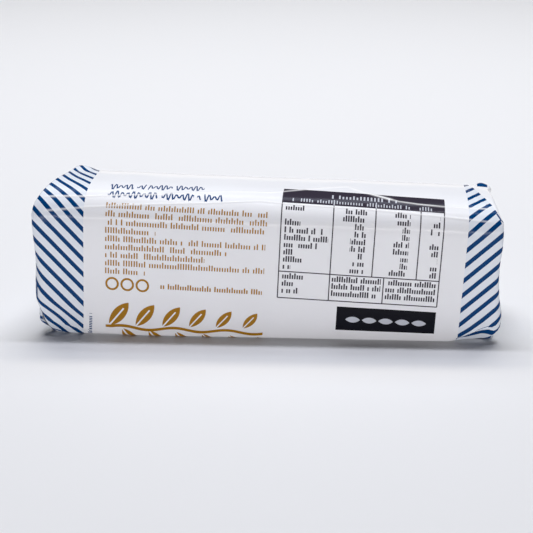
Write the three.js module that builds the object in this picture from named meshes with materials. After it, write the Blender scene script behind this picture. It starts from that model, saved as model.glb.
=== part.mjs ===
// A shut pack of goat cheese: a log with a flat base and a domed top, wrapped tightly in one sheet of film.
// The film's ends are folded in like an envelope: the top and the base are tucked in first, then the back
// flap and over it the front flap are laid across them. The pack is one solid, as nothing shows inside it.
// Millimetres, +Z up, the long way along X, the front towards -Y, the origin under the middle of the base.

import * as THREE from 'three';
import { mergeVertices } from 'three/addons/utils/BufferGeometryUtils.js';

// Overall sizes
const LENGTH = 140; // from end to end, without the hips that stand out past it low down
const DEPTH = 36;
const HEIGHT = 44;
const HEIGHT_FALL = 0.041; // share of the height lost from the middle to the right end

// Section across the pack
const SIDE_HEIGHT = 33; // where the upright front and back turn into the dome
const DOME_POWER = 3; // squareness of the dome, 2 would be an ellipse
const BASE_EDGE = 1; // radius where the sides turn under

// Ends
const END_EDGE = 1.2; // radius where the film turns round onto an end
const FULLER_EDGE = {
  left: { extra: 2.2, height: 18, reach: 12 }, // extra radius of that turn low on the front and back
  right: { extra: 1.2, height: 9, reach: 10 },
};
const UPRIGHT_FROM = 0.8; // share of the half depth from which a side counts as front or back
const BACK_SLANT = { left: 9, right: 1 }; // how much shorter an end is at the top of the back than in front
const FOOT_SLANT_SHARE = 0.45; // share of that slant left at the foot of the back
const SHOULDER_INSET = { left: 1, right: 1.3 }; // extra rounding of an end where the top is tucked in
const SHOULDER_FROM = 0.5; // share of the dome's rise from which that rounding grows
const FRONT_FOOT = {
  left: { inset: 3.9, spread: 10.4, power: 1.05 }, // cut-off lower corner of an end
  right: { inset: 3.6, spread: 4.5, power: 1.5 },
};
const BACK_FOOT = {
  left: { inset: 4, spread: 8, power: 1.5 },
  right: { inset: 5, spread: 9, power: 1.5 },
};
const WAIST = { inset: 0.5, height: 23, reach: 11 }; // slight hollow of both ends half way up
const HIP = {
  left: { out: 0.5, height: 18, reach: 12 }, // swelling of an end low on the front
  right: { out: 1.1, height: 7.4, reach: 8.5 },
};
const BASE_INSET = 1.5; // extra rounding of an end along the tucked base

// Folds of the film, made as relief
const FLAP_STEP = 0.6; // one folded layer of film over another
const TUCK_SINK = 1.2; // hollow left in the middle of a tuck
const FOLD_REACH = 0.16; // share of the way in over which a step grows to its full height
const RIDGE_GAP = 0.03; // share of the way in that a flap's free edge takes up
const EAR = { along: 1.2, wide: 5, from: 9.5 }; // corner of folded film that sticks out at the right end
const PLEATS = [
  { rise: 1.3, along: -59, long: 5.5, across: 10.5, wide: 5 }, // ridges of film pulled up near the ends
  { rise: 0.9, along: 66, long: 3, across: 10, wide: 3.4 },
];
const CORNER_FLAP = { out: 1.9, height: 3.2, reach: 4.5 }; // inner layer that bulges at the left end's foot
const CORNER_FLAP_SPAN = [0.02, 0.05, 0.15, 0.5]; // shares of the way in where that bulge grows and fades

// The front's lower edge rises towards the ends as a crease, with the film below it turned under: place along
// the pack, height of the crease, how far back the film meets the floor, and how full the turned part is
const TOES = [
  { x: -70, crease: 4.6, back: 2, bow: 1 },
  { x: -66, crease: 4.3, back: 3.2, bow: 1 },
  { x: -63, crease: 3.8, back: 1.9, bow: 1 },
  { x: -60, crease: 3, back: 1.2, bow: 1 },
  { x: -55, crease: 1.8, back: 1, bow: 1 },
  { x: -47, crease: 1, back: 0.6, bow: 1 },
  { x: -38, crease: 0.8, back: 0, bow: 1 },
  { x: 55.5, crease: 0.9, back: 0, bow: 1 },
  { x: 57.8, crease: 1.4, back: 1, bow: 1 },
  { x: 61.8, crease: 3.2, back: 2.4, bow: 1 },
  { x: 65.7, crease: 5.1, back: 3.3, bow: 1 },
  { x: 67.2, crease: 5.6, back: 2.2, bow: 1.4 },
  { x: 68.8, crease: 5.6, back: 0.9, bow: 2 },
  { x: 70, crease: 6.2, back: 0.5, bow: 2.2 },
];

// Fineness of the faces
const PANEL_STEPS = { front: 26, top: 15, base: 10 };
const FOOT_CROWDING = 1.5; // power that draws the front's and the back's columns together at the foot
const CORNER_GAP = 0.4;
const BARREL_STEPS = 28;
const EDGE_STEPS = 3;
const INWARD_SHARES = [0.07, 0.16, 0.32, 0.48, 0.64, 0.8, 0.91, 1 - RIDGE_GAP, 1];

const halfLength = LENGTH / 2;
const halfDepth = DEPTH / 2;
const halfHeight = HEIGHT / 2;
const domeRise = HEIGHT - SIDE_HEIGHT;

// The dome is a superellipse over the upright sides, from one angle to another, 180 degrees being the front
class DomeCurve extends THREE.Curve {
  constructor(startAngle, endAngle) {
    super();
    this.startAngle = startAngle;
    this.endAngle = endAngle;
  }

  getPoint(share, target = new THREE.Vector2()) {
    const angle = THREE.MathUtils.lerp(this.startAngle, this.endAngle, share);
    const across = Math.cos(angle);
    const up = Math.sin(angle);
    const power = 2 / DOME_POWER;
    const y = halfDepth * Math.sign(across) * Math.abs(across) ** power;
    const z = SIDE_HEIGHT + domeRise * Math.abs(up) ** power;
    return target.set(y, z);
  }
}

// The panels of the wrapped film, each a path in the section, the front one going up from the foot
function sectionPanels() {
  const quarter = Math.PI / 4;
  const foot = new THREE.EllipseCurve(
    -halfDepth + BASE_EDGE, BASE_EDGE, BASE_EDGE, BASE_EDGE, 5 * quarter, 4 * quarter, true);
  const side = new THREE.LineCurve(
    new THREE.Vector2(-halfDepth, BASE_EDGE), new THREE.Vector2(-halfDepth, SIDE_HEIGHT));
  const front = new THREE.CurvePath();
  front.add(foot);
  front.add(side);
  front.add(new DomeCurve(4 * quarter, 3 * quarter));

  const top = new DomeCurve(3 * quarter, quarter);

  const halfFoot = new THREE.EllipseCurve(
    -halfDepth + BASE_EDGE, BASE_EDGE, BASE_EDGE, BASE_EDGE, 5 * quarter, 6 * quarter, false);
  const flat = new THREE.LineCurve(
    new THREE.Vector2(-halfDepth + BASE_EDGE, 0), new THREE.Vector2(halfDepth - BASE_EDGE, 0));
  const halfHeel = new THREE.EllipseCurve(
    halfDepth - BASE_EDGE, BASE_EDGE, BASE_EDGE, BASE_EDGE, 6 * quarter, 7 * quarter, false);
  const base = new THREE.CurvePath();
  base.add(halfFoot);
  base.add(flat);
  base.add(halfHeel);
  return { front, top, base };
}

// Points along one panel, a little short of its corners, so that a folded step can stand at each corner
function panelColumns(name, path, crowding = 1) {
  const steps = PANEL_STEPS[name];
  const trim = CORNER_GAP / 2 / path.getLength();
  const columns = [];
  for (let step = 0; step <= steps; step += 1) {
    const share = THREE.MathUtils.lerp(trim, 1 - trim, (step / steps) ** crowding);
    const point = path.getPoint(path instanceof THREE.CurvePath ? share : path.getUtoTmapping(share));
    columns.push({ name, y: point.x, z: point.y });
  }
  return columns;
}

function sectionColumns() {
  const panels = sectionPanels();
  const front = panelColumns('front', panels.front, FOOT_CROWDING);
  const top = panelColumns('top', panels.top);
  const back = front.map(({ y, z }) => ({ name: 'back', y: -y, z })).reverse();
  const base = panelColumns('base', panels.base).reverse();
  return [...front, ...top, ...back, ...base];
}

// A bump that is 1 at its middle and fades to 0 at its reach
function bump(distance, reach) {
  const share = Math.min(Math.abs(distance) / reach, 1);
  return (1 - share) ** 2 * (1 + 2 * share);
}

function endName(end) {
  return end < 0 ? 'left' : 'right';
}

// How far an end slants in at a place on it
function slant(y, z, end) {
  const back = (y + halfDepth) / DEPTH;
  const up = THREE.MathUtils.lerp(FOOT_SLANT_SHARE, 1, z / HEIGHT);
  return BACK_SLANT[endName(end)] * back * up;
}

// Radius of the turn onto an end at one column of the section
function edgeRadius(column, end) {
  const fuller = FULLER_EDGE[endName(end)];
  const upright = THREE.MathUtils.smoothstep(Math.abs(column.y) / halfDepth, UPRIGHT_FROM, 1);
  return END_EDGE + fuller.extra * upright * bump(column.z - fuller.height, fuller.reach);
}

// How far a cut-off lower corner draws the rim in, at a distance from the corner
function footInset(foot, distance) {
  return foot.inset * (1 - Math.min(distance / foot.spread, 1)) ** foot.power;
}

// How far the rim of an end is drawn in, or sticks out, at one column of the section
function rimInset(column, end) {
  const side = endName(end);
  const { y, z } = column;
  let inset = footInset(FRONT_FOOT[side], Math.hypot(y + halfDepth, z));
  inset += footInset(BACK_FOOT[side], Math.hypot(y - halfDepth, z));
  const ramp = (z - SIDE_HEIGHT) / domeRise;
  inset += SHOULDER_INSET[side] * THREE.MathUtils.smoothstep(ramp, SHOULDER_FROM, 1);
  inset += WAIST.inset * bump(z - WAIST.height, WAIST.reach);
  const hip = HIP[side];
  inset -= hip.out * bump(z - hip.height, hip.reach) * bump(y + halfDepth, halfDepth);
  if (column.name === 'base') {
    inset += BASE_INSET * bump(y, halfDepth);
  }
  if (side === 'right' && ramp > 0) {
    inset -= EAR.along * bump(y - EAR.from, EAR.wide);
  }
  return inset;
}

// Depth of a folded layer below the outermost flap, at a share of the way in from the rim to the fold line
function foldDepth(name, inward) {
  if (name === 'front' || inward === 1) {
    return 0;
  }
  const grown = THREE.MathUtils.smoothstep(inward, 0, FOLD_REACH);
  if (name === 'back') {
    return FLAP_STEP * grown;
  }
  return grown * (2 * FLAP_STEP + TUCK_SINK * Math.sin(Math.PI * inward));
}

// Height of the fold line that a column runs in to: the tucks end in a point, the flaps meet on a short line
function foldLineHeight(column) {
  const low = halfDepth;
  const high = HEIGHT - halfDepth;
  if (column.name === 'top') {
    return high;
  }
  if (column.name === 'base') {
    return low;
  }
  return THREE.MathUtils.lerp(low, high, column.z / HEIGHT);
}

// Bulge of the left end's inner layer behind the front's lower corner
function cornerBulge(column, end, inward) {
  if (end > 0 || column.name !== 'front') {
    return 0;
  }
  const [from, full, until, gone] = CORNER_FLAP_SPAN;
  const grown = THREE.MathUtils.smoothstep(inward, from, full);
  const left = 1 - THREE.MathUtils.smoothstep(inward, until, gone);
  return CORNER_FLAP.out * grown * left * bump(column.z - CORNER_FLAP.height, CORNER_FLAP.reach);
}

// Ridges of film pulled up near the ends, just behind the crest
function pleatRise(x, y, z) {
  if (z < SIDE_HEIGHT) {
    return 0;
  }
  const rises = PLEATS.map((pleat) => pleat.rise
    * bump(x - pleat.along, pleat.long) * bump(y - pleat.across, pleat.wide));
  return rises[0] + rises[1];
}

// The turned-under film at one place along the pack
function toeAt(x) {
  const after = TOES.findIndex((toe) => toe.x > x);
  if (after === 0) {
    return TOES[0];
  }
  if (after < 0) {
    return TOES[TOES.length - 1];
  }
  const [before, beyond] = [TOES[after - 1], TOES[after]];
  const share = (x - before.x) / (beyond.x - before.x);
  const between = (name) => THREE.MathUtils.lerp(before[name], beyond[name], share);
  return { crease: between('crease'), back: between('back'), bow: between('bow') };
}

// How far back a place lies because the film is turned under there
function toeShift(x, y, z) {
  const toe = toeAt(x);
  const toFront = THREE.MathUtils.clamp(-y / halfDepth, 0, 1);
  return toe.back * (1 - Math.min(z / toe.crease, 1)) ** toe.bow * toFront;
}

// Every place on the film is given by a column of the section and a station along the pack
function filmPoint(column, station) {
  const { end, along, turn, inward } = station;
  const edge = edgeRadius(column, end || 1);
  const turned = 1 - Math.cos(turn);
  const shrunkY = column.y * (1 - (edge * turned) / halfDepth);
  const shrunkZ = halfHeight + (column.z - halfHeight) * (1 - (END_EDGE * turned) / halfHeight);
  const y = shrunkY * (1 - inward);
  const z = THREE.MathUtils.lerp(shrunkZ, foldLineHeight(column), inward);
  const rimReach = (side) => halfLength - slant(column.y, column.z, side) - rimInset(column, side);
  let x;
  if (inward > 0) {
    const faded = rimInset(column, end) * (1 - inward) ** 3;
    const layer = cornerBulge(column, end, inward) - foldDepth(column.name, inward);
    x = end * (halfLength - slant(y, z, end) - faded + layer);
  } else if (turn > 0) {
    x = end * (rimReach(end) - edge * (1 - Math.sin(turn)));
  } else {
    const [leftEnd, rightEnd] = [-1, 1].map((side) => side * (rimReach(side) - edgeRadius(column, side)));
    x = THREE.MathUtils.lerp(leftEnd, rightEnd, along);
  }
  const tall = 1 - HEIGHT_FALL * (x / halfLength);
  const risen = z * tall + pleatRise(x, column.y, column.z) * (1 - inward);
  return new THREE.Vector3(x, y + toeShift(x, y, z), risen);
}

// Stations in order from the fold line of the left end, along the barrel, to the fold line of the right end
function filmStations() {
  const turns = [];
  for (let step = 1; step <= EDGE_STEPS; step += 1) {
    turns.push((step / EDGE_STEPS) * (Math.PI / 2));
  }
  const endStations = (end) => [
    ...turns.map((turn) => ({ end, along: 0, turn, inward: 0 })),
    ...INWARD_SHARES.map((inward) => ({ end, along: 0, turn: Math.PI / 2, inward })),
  ];
  const barrel = [];
  for (let step = 0; step <= BARREL_STEPS; step += 1) {
    const along = (1 - Math.cos((Math.PI * step) / BARREL_STEPS)) / 2;
    barrel.push({ end: 0, along, turn: 0, inward: 0 });
  }
  return [...endStations(-1).reverse(), ...barrel, ...endStations(1)];
}

// Closed skin over the grid of columns and stations, with the faces that fold to nothing left out
function wrappedSkin() {
  const columns = sectionColumns();
  const stations = filmStations();
  const positions = [];
  for (const station of stations) {
    for (const column of columns) {
      positions.push(...filmPoint(column, station).toArray());
    }
  }
  const index = [];
  const count = columns.length;
  for (let row = 0; row + 1 < stations.length; row += 1) {
    for (let step = 0; step < count; step += 1) {
      const next = (step + 1) % count;
      const a = row * count + step;
      const b = row * count + next;
      const c = (row + 1) * count + next;
      const d = (row + 1) * count + step;
      index.push(a, d, b, b, d, c);
    }
  }
  const skin = new THREE.BufferGeometry();
  skin.setAttribute('position', new THREE.Float32BufferAttribute(positions, 3));
  skin.setIndex(index);
  const merged = mergeVertices(skin, 1e-3);
  const whole = [];
  for (let face = 0; face < merged.index.count; face += 3) {
    const [a, b, c] = [0, 1, 2].map((corner) => merged.index.getX(face + corner));
    if (a !== b && b !== c && c !== a) {
      whole.push(a, b, c);
    }
  }
  merged.setIndex(whole);
  merged.computeVertexNormals();
  return merged;
}

// The hips differ, so the skin is moved until the origin lies under its middle
function centredSkin() {
  const skin = wrappedSkin();
  skin.computeBoundingBox();
  const middle = (skin.boundingBox.min.x + skin.boundingBox.max.x) / 2;
  return skin.translate(-middle, 0, 0);
}

const filmMaterial = new THREE.MeshStandardMaterial({ color: 0xe9eaee, roughness: 0.3, metalness: 0 });

const pack = new THREE.Group();
const wrappedCheese = new THREE.Mesh(centredSkin(), filmMaterial);
wrappedCheese.name = 'wrapped_cheese';
pack.add(wrappedCheese);

export default pack;
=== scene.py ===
"""A shut pack of goat cheese in printed film, laid out as a Blender add-on and run as a script.

The film is one fine sheet, wrapped round the pack's section and folded in at both ends like an envelope: the
top and the base are tucked in first, the back flap is laid over them and the front flap over that. Its print
is drawn by the material in the film's own flat coordinates, so stripes and fields follow every fold.
"""

import math
from bisect import bisect_right
from collections import namedtuple
from functools import partial, reduce

import bmesh
import bpy
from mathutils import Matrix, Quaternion, Vector, noise


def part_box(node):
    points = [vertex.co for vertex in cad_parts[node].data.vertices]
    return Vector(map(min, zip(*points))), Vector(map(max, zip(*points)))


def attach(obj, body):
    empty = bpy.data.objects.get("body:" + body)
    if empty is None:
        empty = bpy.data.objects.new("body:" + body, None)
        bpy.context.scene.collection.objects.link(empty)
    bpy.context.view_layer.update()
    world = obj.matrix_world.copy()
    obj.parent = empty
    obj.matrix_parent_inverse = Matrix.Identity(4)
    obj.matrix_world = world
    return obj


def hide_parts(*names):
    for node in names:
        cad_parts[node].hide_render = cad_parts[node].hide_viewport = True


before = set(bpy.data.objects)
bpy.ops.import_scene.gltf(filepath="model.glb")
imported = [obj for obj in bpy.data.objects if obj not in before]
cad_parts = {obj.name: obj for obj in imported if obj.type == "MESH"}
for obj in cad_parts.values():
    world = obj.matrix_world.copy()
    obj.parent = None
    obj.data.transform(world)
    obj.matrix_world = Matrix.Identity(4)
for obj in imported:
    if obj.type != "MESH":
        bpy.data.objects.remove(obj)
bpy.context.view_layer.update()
PACK_LOW, PACK_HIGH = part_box("wrapped_cheese")
MM = 0.001

bl_info = {
    "name": "Wrapped goat cheese log",
    "version": (1, 0, 0),
    "blender": (4, 5, 0),
    "location": "3D View > Sidebar > Cheese pack",
    "description": "Builds a shut, film-wrapped log of goat cheese with folded ends and a plain studio stage",
    "category": "Add Mesh",
}


def linear(code):
    """Turn an sRGB hex colour into the linear values that Blender's colours hold."""
    channels = [int(code[place : place + 2], 16) / 255 for place in (1, 3, 5)]
    return [c / 12.92 if c <= 0.04045 else ((c + 0.055) / 1.055) ** 2.4 for c in channels]


# Section and ends of the pack in millimetres, the same form as the solid that the film replaces. -1 is the
# left end and 1 the right one. Most tuples hold an amount, the place of its middle and its reach
SIDE_HEIGHT = 33.0
DOME_POWER = 3.0
BASE_EDGE = 1.0
END_EDGE = 1.2
FULLER_EDGE = {-1: (2.2, 18.0, 12.0), 1: (1.2, 9.0, 10.0)}
UPRIGHT_FROM = 0.8
BACK_SLANT = {-1: 9.0, 1: 1.0}
FOOT_SLANT_SHARE = 0.45
SHOULDER_INSET = {-1: 1.0, 1: 1.3}
SHOULDER_FROM = 0.5
WAIST = (0.5, 23.0, 11.0)
HIP = {-1: (0.5, 18.0, 12.0), 1: (1.1, 7.4, 8.5)}
BASE_INSET = 1.5
EAR = (1.2, 5.0, 9.5)

# Cut-off lower corners: inset, spread and power
FRONT_FOOT = {-1: (3.9, 10.4, 1.05), 1: (3.6, 4.5, 1.5)}
BACK_FOOT = {-1: (4.0, 8.0, 1.5), 1: (5.0, 9.0, 1.5)}

# How far the hips stand out past the length from end to end
HIP_REACH = {-1: 0.33, 1: 1.09}

# Raised folds of the top: height, place along the pack and reach, place across it and reach
PLEATS = ((1.3, -59.0, 5.5, 10.5, 5.0), (0.9, 66.0, 3.0, 10.0, 3.4))

# Folded layers of film at the ends: step between layers, sink of a tuck, shares of the way in where layers
# have parted and where they start to meet, shift of hidden layers, shares of the way in where it is full and
# where it starts to go, overhang of the front flap, how far its edge leans to mid height, a corner's arc
FLAP_STEP = 0.6
TUCK_SINK = 1.2
FOLD_REACH = 0.16
FOLD_LINE_FROM = 0.86
FOLD_SLIDE = 1.8
SLIDE_FULL, SLIDE_GOES = 0.12, 0.75
OVERHANG = 3.0
OVERHANG_LEAN = 0.75
CORNER_GAP = 0.4

# The front's lower edge rises towards the ends as a crease, with the film below it turned under: x, height of
# the crease, how far back the film meets the floor, how full the turned part is, the film hidden in the
# crease, and how far the film above is drawn down
Toe = namedtuple("Toe", "x crease back bow hidden drawn")
TOES = [Toe(*sizes) for sizes in (
    (-70.0, 4.6, 2.0, 1.0, 0.0, 2.6), (-66.0, 4.3, 2.9, 1.0, 0.0, 2.6), (-63.0, 3.8, 1.9, 1.0, 0.4, 2.4),
    (-60.0, 3.0, 1.2, 1.0, 0.9, 2.0), (-55.0, 1.8, 1.0, 1.0, 1.2, 2.0), (-47.0, 1.0, 0.6, 1.0, 0.0, 0.0),
    (-38.0, 0.8, 0.0, 1.0, 0.0, 0.0), (55.5, 0.9, 0.0, 1.0, 0.0, 1.6), (57.8, 1.4, 1.0, 1.0, 10.1, 1.6),
    (61.8, 3.2, 2.4, 1.0, 7.1, 0.5), (65.7, 5.1, 3.3, 1.0, 4.7, 0.0), (67.2, 5.6, 2.2, 1.4, 3.6, 0.0),
    (68.8, 5.6, 0.9, 2.0, 1.6, 0.0), (70.0, 6.2, 0.5, 2.2, 1.0, 0.0),
)]

# Height over which that drawing down goes, the deepest setback, and the crease's lip: reach and height
DRAWN_REACH = {-1: 7.0, 1: 4.5}
TOE_DEEPEST = 6.0
TOE_LIP = (0.3, 0.8)

# Columns at the crease: arc of the one along it, the gap below that, the highest arc moved, the step below
CREASE_COLUMN = 1.6
CREASE_CLEAR = 0.02
CREASE_SPREAD_TOP = 14.0
CREASE_FINE_STEP = 0.2

# The film is drawn up over the top's ends: how far, the places along the pack where that starts and is full,
# and the arcs over which it grows and goes
TOP_DRAWN = {-1: (3.9, 57.0, 66.0), 1: (5.0, 50.0, 59.0)}
TOP_DRAWN_SPAN = (48.0, 68.0, 76.0, 96.0)

# A layer of the left end that bulges past the front's cut-off corner, the turn from which it does, and the
# shares of the way in over which that goes
CORNER_FLAP = (1.9, 3.1, 4.3)
CORNER_FLAP_TURN = 1.1
CORNER_FLAP_GOES = (0.15, 0.5)

# Painted shade: a dark line of slate painted into the gap between the front and that layer, where it lies in
# shade; and the ink on the layer: heights, and reach or start in turn
PAINTED_GAP_SHADE_SPAN = (0.0, 10.2)
PAINTED_GAP_SHADE_TURN = 0.32
CORNER_INK_SPAN = (3.45, 4.95)
CORNER_INK_TURN = 1.3

# Fineness of the sheet, and the sizes at which its points are welded and its slivers dissolved
COLUMN_STEP = 0.62
SHOULDER_STEP = 0.22
SHOULDER_SPAN = (37.5, 58.0)
BARREL_STEPS = 190
TURN_STEPS = 7
INWARD_STEPS = 32
WELD = 0.004
SLIVER = 0.0005

# The front flap's free edge past the fold line: shares of the overhang, and of the way back under the flap
FLAP_EDGE = ((0.35, 0.0), (0.7, 0.0), (1.0, 0.0), (1.0, 0.35), (0.6, 0.7), (0.0, 1.0))

Column = namedtuple("Column", "panel v y z slide layer")
Station = namedtuple("Station", "end along turn inward over under", defaults=[0.0] * 5)


def length_property(name, description, default):
    return bpy.props.FloatProperty(name=name, description=description, default=default, unit="LENGTH")


def colour_property(name, code, description):
    return bpy.props.FloatVectorProperty(
        name=name, description=description, default=linear(code), subtype="COLOR", size=3, min=0.0, max=1.0)


class PackSizes(bpy.types.PropertyGroup):
    """Overall sizes of the wrapped pack."""

    length: length_property("Length", "Pack from end to end", PACK_HIGH.x - PACK_LOW.x)
    depth: length_property("Depth", "Pack from front to back", PACK_HIGH.y - PACK_LOW.y)
    height: length_property("Height", "Top of the dome at mid length", 0.044)
    height_fall: bpy.props.FloatProperty(
        name="Height fall", description="Share of the height lost from the middle to the right end",
        default=0.041, subtype="FACTOR", min=0.0, max=0.2)
    unevenness: length_property("Unevenness", "How far the soft cheese swells under the film", 0.00022)
    crinkle: length_property("Crinkle", "Height of the film's crinkles at the folded ends", 0.00016)


class PrintColours(bpy.types.PropertyGroup):
    """Colours of the film and its inks."""

    film: colour_property("Film", "#F6F7FA", "White printed film")
    navy: colour_property("Navy", "#023D73", "Diagonal stripes and the pen strokes")
    ochre: colour_property("Ochre", "#A8771A", "Rows of ticks, the rings and the sprigs of leaves")
    plum: colour_property("Plum grey", "#3A3540", "Table, its header and its ticks")
    # Slate also serves as painted shade in the gap at the left end's corner
    slate: colour_property("Slate", "#050512", "Dark box")
    pale: colour_property("Pale", "#C9CDD6", "Marks reversed out of the dark fields")
    floor: colour_property("Floor", "#E9E9EA", "Studio floor")


class PackLook(bpy.types.PropertyGroup):
    """Finish of the film."""

    roughness: bpy.props.FloatProperty(
        name="Roughness", description="Roughness of the gloss film", default=0.14, subtype="FACTOR",
        min=0.0, max=1.0)


def blend(start, end, share):
    return start + (end - start) * share


def smooth_ramp(value, low, high):
    """0 below low, 1 above high, with an even slope between them that eases in and out."""
    share = min(max((value - low) / (high - low), 0.0), 1.0)
    return share * share * (3 - 2 * share)


def bump(distance, reach):
    """1 at the middle and 0 from the reach on."""
    share = min(abs(distance) / reach, 1.0)
    return (1 - share) ** 2 * (1 + 2 * share)


class PackForm:
    """The wrapped form in millimetres, as a function of columns round it and stations along it."""

    def __init__(self, sizes):
        self.half_length = (sizes.length / MM - HIP_REACH[-1] - HIP_REACH[1]) / 2
        self.middle = (HIP_REACH[1] - HIP_REACH[-1]) / 2
        self.half_depth = sizes.depth / MM / 2
        self.height = sizes.height / MM
        self.half_height = self.height / 2
        self.height_fall = sizes.height_fall
        self.dome_rise = self.height - SIDE_HEIGHT
        self.outline = self.section_outline()
        self.crest = self.outline[len(self.outline) // 2][0]
        self.foot_corner = BASE_EDGE * (1 - math.pi / 4)
        shoulder = self.dome_point(0.75 * math.pi)
        front = self.outline[: len(self.outline) // 2]
        self.shoulder_corner = min(front, key=lambda place: math.dist(place[1:], shoulder))[0]
        self.arcs = [place[0] for place in self.outline]

    def dome_point(self, angle):
        across, up = math.cos(angle), math.sin(angle)
        power = 2 / DOME_POWER
        y = self.half_depth * math.copysign(abs(across) ** power, across)
        return y, SIDE_HEIGHT + self.dome_rise * abs(up) ** power

    def section_outline(self, steps=720):
        """Places (v, y, z) from the middle of the base up the front, over the dome and back under."""
        turn_under = self.half_depth - BASE_EDGE
        half = [(0.0, 0.0), (-turn_under, 0.0)]
        for step in range(1, 13):
            angle = math.radians(270 - 90 * step / 12)
            half.append((-turn_under + BASE_EDGE * math.cos(angle), BASE_EDGE * (1 + math.sin(angle))))
        for step in range(steps + 1):
            half.append(self.dome_point(math.pi * (1 - step / steps / 2)))
        ring = half + [(-y, z) for y, z in reversed(half[:-1])]
        v = BASE_EDGE * (1 - math.pi / 2) - turn_under
        outline = [(v, *ring[0])]
        for before, after in zip(ring, ring[1:]):
            v += math.dist(before, after)
            outline.append((v, *after))
        return outline

    def section_point(self, v):
        after = min(max(bisect_right(self.arcs, v), 1), len(self.arcs) - 1)
        v0, y0, z0 = self.outline[after - 1]
        v1, y1, z1 = self.outline[after]
        share = (v - v0) / (v1 - v0) if v1 > v0 else 0.0
        return blend(y0, y1, share), blend(z0, z1, share)

    def edge_radius(self, column, end):
        """Radius of the turn onto an end: fuller low down on the front and the back."""
        extra, place, reach = FULLER_EDGE[end]
        upright = smooth_ramp(abs(column.y) / self.half_depth, UPRIGHT_FROM, 1.0)
        return END_EDGE + extra * upright * bump(column.z - place, reach)

    def slant(self, y, z, end):
        back = (y + self.half_depth) / (2 * self.half_depth)
        return BACK_SLANT[end] * back * blend(FOOT_SLANT_SHARE, 1.0, z / self.height)

    def rim_inset(self, column, end):
        y, z = column.y, column.z
        inset = 0.0
        for (deep, spread, power), side in ((FRONT_FOOT[end], -1), (BACK_FOOT[end], 1)):
            away = math.hypot(y - side * self.half_depth, z)
            inset += deep * (1 - min(away / spread, 1.0)) ** power
        ramp = (z - SIDE_HEIGHT) / self.dome_rise
        inset += SHOULDER_INSET[end] * smooth_ramp(ramp, SHOULDER_FROM, 1.0)
        inset += WAIST[0] * bump(z - WAIST[1], WAIST[2])
        out, place, reach = HIP[end]
        inset -= out * bump(z - place, reach) * bump(y + self.half_depth, self.half_depth)
        if column.panel == "base":
            inset += BASE_INSET * bump(y, self.half_depth)
        if end > 0 and ramp > 0:
            inset -= EAR[0] * bump(y - EAR[2], EAR[1])
        return inset

    def rim_reach(self, column, end):
        """How far out a column's film runs at most before it turns in over an end."""
        return self.half_length - self.slant(column.y, column.z, end) - self.rim_inset(column, end)

    def fold_height(self, column):
        """Height of the line or point where a column's film runs out in the middle of an end."""
        low, high = self.half_depth, self.height - self.half_depth
        foot = self.section_point(self.foot_corner)[1]
        shoulder = self.section_point(self.shoulder_corner)[1]
        share = min(max((column.z - foot) / (shoulder - foot), 0.0), 1.0)
        share = {"top": 1.0, "base": 0.0}.get(column.panel, share)
        return blend(low, high, share)

    def layer_depth(self, layer, inward):
        """Depth below the outermost flap: layer 0 is the front flap, 1 the back flap and 2 a tuck."""
        grown = smooth_ramp(inward, 0.0, FOLD_REACH)
        flap = FLAP_STEP * min(layer, 1.0) * grown
        tuck = (FLAP_STEP + TUCK_SINK * math.sin(math.pi * inward)) * grown * max(layer - 1.0, 0.0)
        to_fold_line = smooth_ramp(inward, FOLD_LINE_FROM, 1.0)
        return blend(flap + tuck, flap if layer <= 1 else FLAP_STEP, to_fold_line)

    def pleat_rise(self, x, y, z):
        if z < SIDE_HEIGHT:
            return 0.0
        return sum(rise * bump(x - along, long) * bump(y - across, wide)
                   for rise, along, long, across, wide in PLEATS)

    def toe_at(self, x):
        """Crease, setback and fullness of the turned-under film at one place along the pack."""
        x = min(max(x, TOES[0].x), TOES[-1].x)
        after = next(place for place, toe in enumerate(TOES) if toe.x >= x) or 1
        before, beyond = TOES[after - 1], TOES[after]
        share = (x - before.x) / (beyond.x - before.x)
        return Toe(*(blend(a, b, share) for a, b in zip(before, beyond)))

    def toe_shift(self, x, y, z):
        """How far back a place lies below the crease, or less than 0 on the crease's lip."""
        toe = self.toe_at(x)
        to_front = min(max(-y / self.half_depth, 0.0), 1.0)
        if z < toe.crease:
            return toe.back * (1 - z / toe.crease) ** toe.bow * to_front
        out, fade = TOE_LIP
        fold = toe.back / TOE_DEEPEST if x > 0 else 0.0
        return -out * fold * math.exp((toe.crease - z) / fade) * to_front ** 4

    def toe_print(self, x, column, steps=12):
        """How far the print lies lower on the turned-under film, as the crease hides some of it."""
        toe = self.toe_at(x)
        if column.y > 0 or column.panel not in ("base", "front", "fold"):
            return 0.0
        if column.z >= toe.crease:
            return -toe.drawn * bump(column.z - toe.crease, DRAWN_REACH[-1 if x < 0 else 1])

        def turned_length(to):
            places = [(toe.crease * to * step / steps, toe.back * (to * step / steps) ** toe.bow)
                      for step in range(steps + 1)]
            return sum(math.dist(a, b) for a, b in zip(places, places[1:]))

        shown = toe.crease - toe.drawn - toe.hidden
        if column.panel == "base":
            return (shown - turned_length(1.0)) * -column.y / self.half_depth
        return shown - turned_length(1 - column.z / toe.crease) - column.z

    def top_print(self, x, column):
        """How far the print lies higher on the film that is drawn up over the top."""
        amount, start, full = TOP_DRAWN[-1 if x < 0 else 1]
        grows, grown, goes, gone = TOP_DRAWN_SPAN
        over = smooth_ramp(column.v, grows, grown) * (1 - smooth_ramp(column.v, goes, gone))
        return -amount * smooth_ramp(abs(x), start, full) * over

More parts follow.
